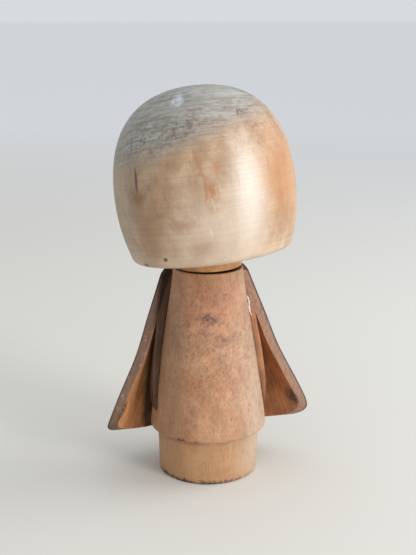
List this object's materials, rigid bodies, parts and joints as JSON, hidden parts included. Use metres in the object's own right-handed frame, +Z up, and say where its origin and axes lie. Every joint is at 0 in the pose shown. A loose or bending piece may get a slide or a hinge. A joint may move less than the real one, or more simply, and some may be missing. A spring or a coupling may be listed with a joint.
{
  "type": "kokeshi doll",
  "caption": "Turned wooden doll with a cap-shaped head that turns and lifts off on a neck peg, a hemmed body on a round base, and two thin curved sleeves.",
  "frame": {"origin": "centre of the flat underside of the round base", "axes": "+Z up along the body's turning axis, -Y the way the doll faces, +X to the doll's own left"},
  "size_m": [0.1058, 0.0913, 0.1998],
  "materials": {
    "head_wood": "satin, worn and weathered grey on the crown",
    "body_wood": "satin, thin old varnish over flecked wood",
    "collar_wood": "satin",
    "sleeve_wood": "satin, stained reddish brown",
    "peg_wood": "bare",
    "dried_glue": "dry white wood glue"
  },
  "bodies": {
    "doll_body": {"body": "body_wood", "left_sleeve": "sleeve_wood", "right_sleeve": "sleeve_wood", "left_sleeve_peg": "peg_wood", "right_sleeve_peg": "peg_wood", "right_sleeve_glue": "dried_glue"},
    "peg": {"neck_peg": "peg_wood"},
    "doll_head": {"head": "head_wood", "neck_collar": "collar_wood"}
  },
  "joints": [
    {"name": "head_turn", "type": "hinge", "parent": "doll_body", "child": "peg", "pos_m": [0, 0, 0.1091], "axis": [0, 0, 1], "continuous": true},
    {"name": "head_lift", "type": "slide", "parent": "peg", "child": "doll_head", "axis": [0, 0, 1], "range_m": [0, 0.026]}
  ]
}
